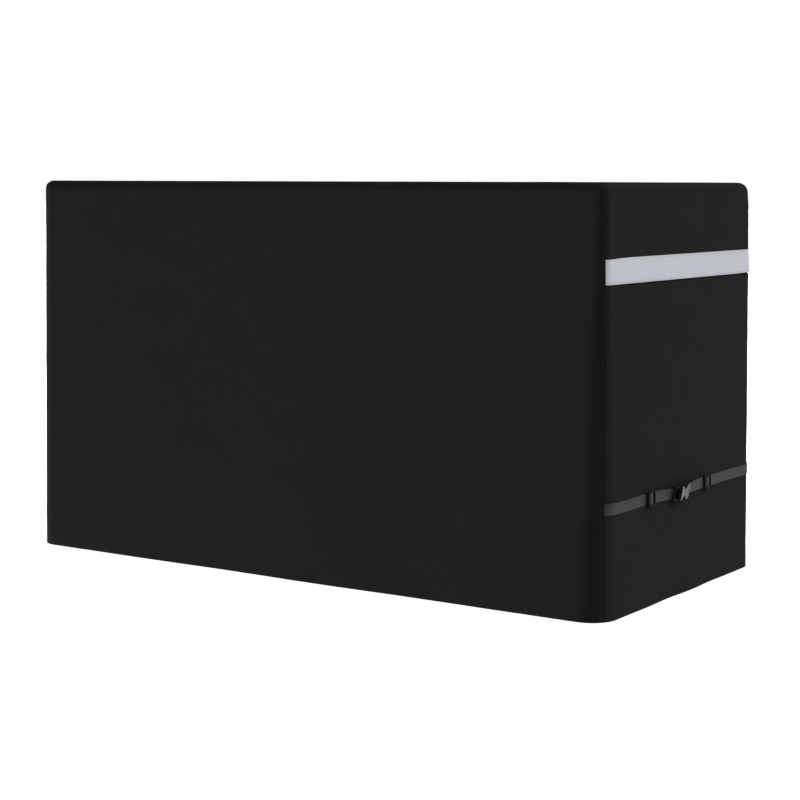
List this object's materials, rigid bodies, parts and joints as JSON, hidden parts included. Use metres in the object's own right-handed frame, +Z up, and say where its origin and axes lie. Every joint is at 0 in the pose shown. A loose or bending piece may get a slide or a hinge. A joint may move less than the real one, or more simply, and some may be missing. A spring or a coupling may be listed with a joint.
{
  "type": "barbecue cover",
  "caption": "Fitted box-shaped cover of dark woven cloth, open at the bottom, with a reflective band and a buckled webbing strap across one end.",
  "frame": {"origin": "underside of the top panel at its middle, where the barbecue carries the cover", "axes": "+X along the length towards the end with the strap, the front wall faces -Y, +Z up"},
  "size_m": [1.6693, 0.8092, 0.935],
  "materials": {
    "cloth": "black close-woven outdoor cloth with a matt coating",
    "reflective_cloth": "pale silver-grey reflective tape, finely textured, stitched along both edges",
    "webbing": "dark grey ribbed webbing",
    "black_plastic": "black moulded plastic with a satin gloss"
  },
  "bodies": {
    "root": {"top_panel": "cloth", "front_panel": "cloth", "back_panel": "cloth", "right_end_panel": "cloth", "left_end_panel": "cloth", "reflective_band": "reflective_cloth", "strap_front": "webbing", "strap_back": "webbing", "slider_front": "black_plastic", "slider_back": "black_plastic", "buckle_socket": "black_plastic", "buckle_plug": "black_plastic"}
  },
  "joints": []
}
